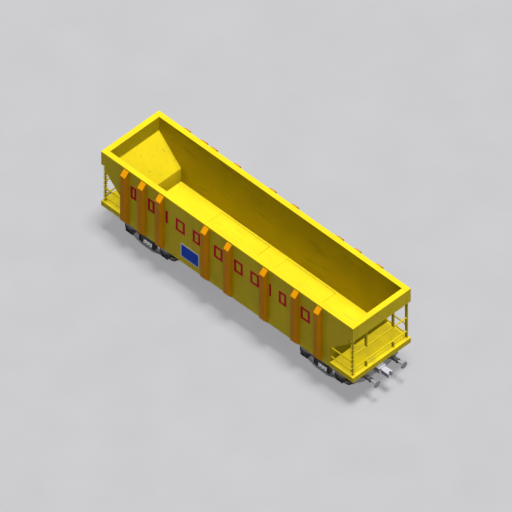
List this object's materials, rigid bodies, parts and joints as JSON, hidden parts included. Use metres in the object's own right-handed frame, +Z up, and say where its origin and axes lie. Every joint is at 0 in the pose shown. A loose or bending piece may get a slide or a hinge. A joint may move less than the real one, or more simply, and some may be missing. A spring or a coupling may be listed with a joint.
{
  "type": "open hopper wagon",
  "caption": "Open-top hopper wagon with ribbed sides, sloped ends over open platforms, swivelling bogies, end buffers and bottom drop doors.",
  "frame": {"origin": "middle of the wagon's length and width, at the lowest point of the wheel flanges, 28 mm below the rail's top", "axes": "+X to the front end, +Y to the left side, +Z up"},
  "size_m": [13.264, 3.25, 3.8479],
  "materials": {
    "body_yellow": "satin yellow paint",
    "post_orange": "satin orange paint",
    "frame_grey": "grey paint",
    "dark_steel": "dark bare steel",
    "bright_steel": "bright machined steel",
    "wheel_steel": "rolled steel, bright on the treads"
  },
  "bodies": {
    "wagon": {"right_side_wall": "body_yellow", "left_side_wall": "body_yellow", "end_headers": "body_yellow", "front_slope_sheet": "body_yellow", "rear_slope_sheet": "body_yellow", "floor_plate": "body_yellow", "crossbearers": "frame_grey", "centre_sill": "frame_grey", "front_platform": "body_yellow", "rear_platform": "body_yellow", "right_side_posts": "post_orange", "left_side_posts": "post_orange", "right_ladder_posts": "body_yellow", "end_posts": "body_yellow", "handrails": "body_yellow", "headstocks": "frame_grey", "buffer_housings": "dark_steel", "buffers": "bright_steel", "coupler_strikers": "bright_steel", "couplers": "bright_steel", "door_hinge_rods": "dark_steel", "brake_cylinder": "dark_steel", "air_reservoir": "dark_steel"},
    "front_bogie": {"front_side_frames": "frame_grey", "front_bolster": "frame_grey", "front_springs": "bright_steel", "front_axle_boxes": "dark_steel", "front_brake_beams": "dark_steel"},
    "front_outer_wheelset": {"front_outer_wheels": "wheel_steel", "front_outer_axle": "wheel_steel"},
    "front_inner_wheelset": {"front_inner_wheels": "wheel_steel", "front_inner_axle": "wheel_steel"},
    "front_right_door_leaf": {"front_right_door": "body_yellow"},
    "front_left_door_leaf": {"front_left_door": "body_yellow"},
    "rear_bogie": {"rear_side_frames": "frame_grey", "rear_bolster": "frame_grey", "rear_springs": "bright_steel", "rear_axle_boxes": "dark_steel", "rear_brake_beams": "dark_steel"},
    "rear_outer_wheelset": {"rear_outer_wheels": "wheel_steel", "rear_outer_axle": "wheel_steel"},
    "rear_inner_wheelset": {"rear_inner_wheels": "wheel_steel", "rear_inner_axle": "wheel_steel"},
    "rear_right_door_leaf": {"rear_right_door": "body_yellow"},
    "rear_left_door_leaf": {"rear_left_door": "body_yellow"}
  },
  "joints": [
    {"name": "front_bogie_swivel", "type": "hinge", "parent": "wagon", "child": "front_bogie", "pos_m": [4.3, 0, 0.7585], "axis": [0, 0, 1], "range_deg": [-5, 5]},
    {"name": "front_outer_wheelset_turn", "type": "hinge", "parent": "front_bogie", "child": "front_outer_wheelset", "pos_m": [5.1635, 0, 0.447], "axis": [0, 1, 0], "continuous": true},
    {"name": "front_inner_wheelset_turn", "type": "hinge", "parent": "front_bogie", "child": "front_inner_wheelset", "pos_m": [3.4365, 0, 0.447], "axis": [0, 1, 0], "continuous": true},
    {"name": "front_left_door_drop", "type": "hinge", "parent": "wagon", "child": "front_left_door_leaf", "pos_m": [1.62, 0.2, 1.368], "axis": [-1, 0, 0], "range_deg": [0, 60]},
    {"name": "front_right_door_drop", "type": "hinge", "parent": "wagon", "child": "front_right_door_leaf", "pos_m": [1.62, -0.2, 1.368], "axis": [1, 0, 0], "range_deg": [0, 60]},
    {"name": "rear_bogie_swivel", "type": "hinge", "parent": "wagon", "child": "rear_bogie", "pos_m": [-4.3, 0, 0.7585], "axis": [0, 0, 1], "range_deg": [-5, 5]},
    {"name": "rear_outer_wheelset_turn", "type": "hinge", "parent": "rear_bogie", "child": "rear_outer_wheelset", "pos_m": [-5.1635, 0, 0.447], "axis": [0, 1, 0], "continuous": true},
    {"name": "rear_inner_wheelset_turn", "type": "hinge", "parent": "rear_bogie", "child": "rear_inner_wheelset", "pos_m": [-3.4365, 0, 0.447], "axis": [0, 1, 0], "continuous": true},
    {"name": "rear_left_door_drop", "type": "hinge", "parent": "wagon", "child": "rear_left_door_leaf", "pos_m": [-1.62, 0.2, 1.368], "axis": [-1, 0, 0], "range_deg": [0, 60]},
    {"name": "rear_right_door_drop", "type": "hinge", "parent": "wagon", "child": "rear_right_door_leaf", "pos_m": [-1.62, -0.2, 1.368], "axis": [1, 0, 0], "range_deg": [0, 60]}
  ],
  "couplings": [
    {"joint": "front_right_door_drop", "follows": "front_left_door_drop", "ratio": 1},
    {"joint": "rear_right_door_drop", "follows": "rear_left_door_drop", "ratio": 1}
  ]
}
